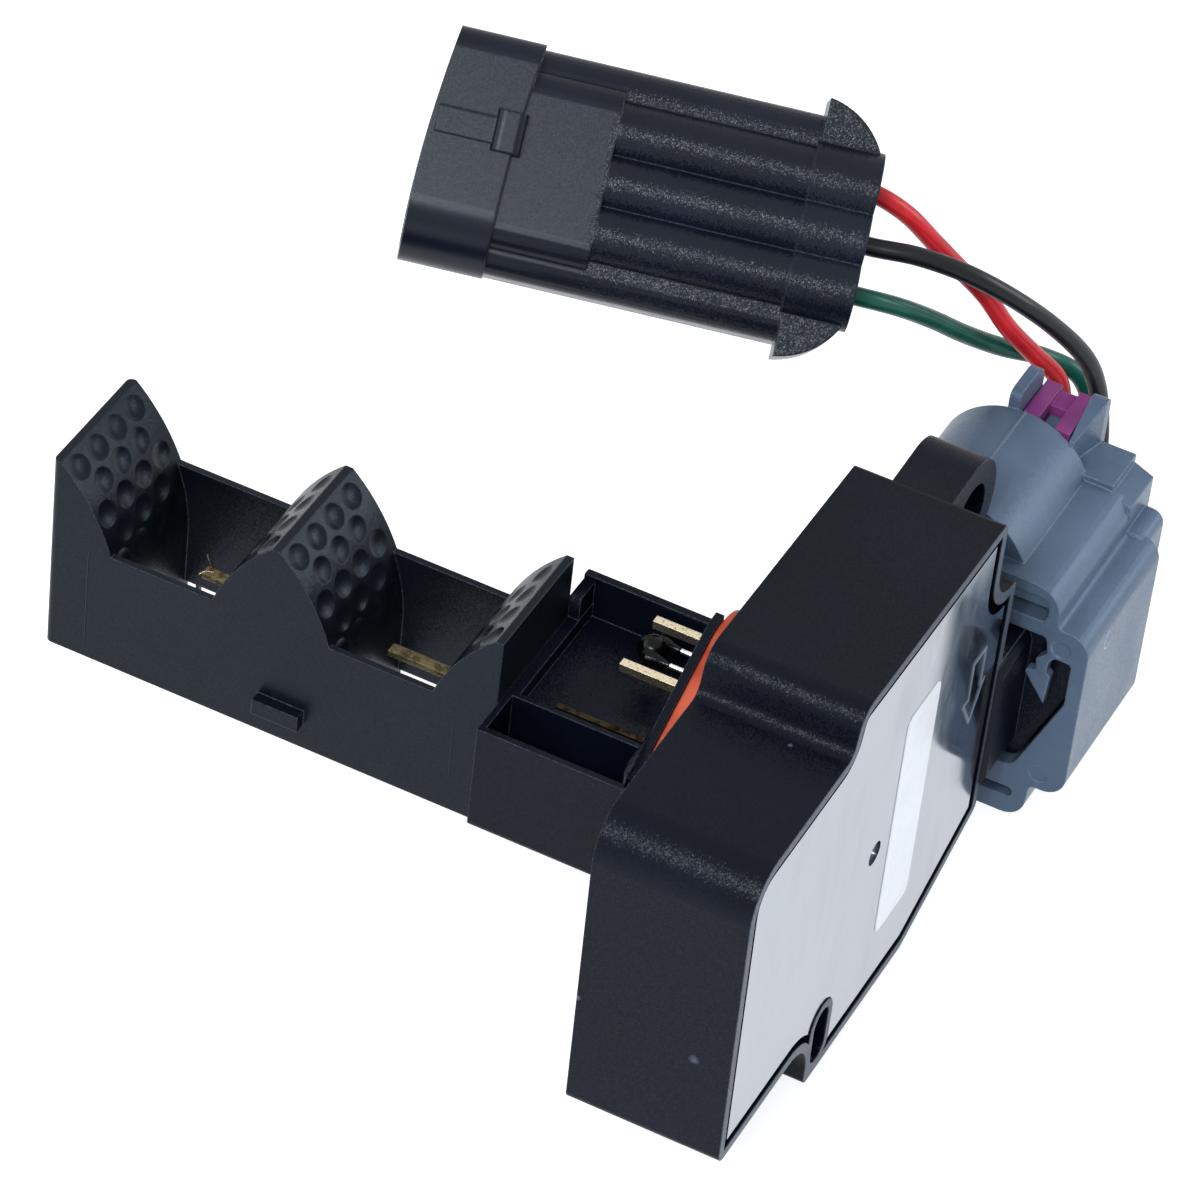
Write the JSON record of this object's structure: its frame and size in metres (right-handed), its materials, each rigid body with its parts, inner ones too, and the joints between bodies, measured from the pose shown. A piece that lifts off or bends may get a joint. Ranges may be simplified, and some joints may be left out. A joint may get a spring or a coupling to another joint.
{
  "type": "mass air flow sensor",
  "caption": "Plug-in air flow sensor: flat box with screw ears, slotted probe with dimpled ramps, side connector with sliding lock and a short wired adapter plug.",
  "frame": {"origin": "centre of the probe collar in the plane where the box seats on the intake duct", "axes": "+X out of the duct towards the cover, +Y towards the wiring connector, +Z towards the crests of the ramps"},
  "size_m": [0.1143, 0.1245, 0.0935],
  "materials": {
    "black_housing": "fine satin",
    "gloss_cover": "high gloss",
    "orange_gasket": "matte",
    "board_green": "satin",
    "tinned_brass": "satin",
    "bright_lead": "bright",
    "black_bead": "gloss",
    "grey_connector": "satin",
    "purple_lock": "satin",
    "seal_rubber": "matte",
    "wire_red": "satin",
    "wire_green": "satin",
    "wire_black": "satin",
    "black_adapter": "fine satin"
  },
  "bodies": {
    "sensor": {"sensor_housing": "black_housing", "flow_probe": "black_housing", "housing_cover": "gloss_cover", "gasket": "orange_gasket", "circuit_board": "board_green", "window_stub": "tinned_brass", "window_bar": "tinned_brass", "root_bar": "tinned_brass", "post_front": "tinned_brass", "post_rear": "tinned_brass", "temperature_bead": "black_bead", "bead_leads": "bright_lead", "blade_red": "bright_lead", "blade_green": "bright_lead", "blade_black": "bright_lead", "connector_housing": "grey_connector", "interface_seal": "seal_rubber", "terminal_red": "tinned_brass", "terminal_green": "tinned_brass", "terminal_black": "tinned_brass", "seal_red": "seal_rubber", "seal_green": "seal_rubber", "seal_black": "seal_rubber", "wire_red": "wire_red", "wire_green": "wire_green", "wire_black": "wire_black", "adapter_housing": "black_adapter", "adapter_pin_red": "tinned_brass", "adapter_pin_green": "tinned_brass", "adapter_pin_black": "tinned_brass", "adapter_seal_red": "seal_rubber", "adapter_seal_green": "seal_rubber", "adapter_seal_black": "seal_rubber"},
    "lock_slide": {"connector_lock": "purple_lock"}
  },
  "joints": [
    {"name": "connector_lock_slide", "type": "slide", "parent": "sensor", "child": "lock_slide", "axis": [0, 1, 0], "range_m": [0, 0.003]}
  ]
}
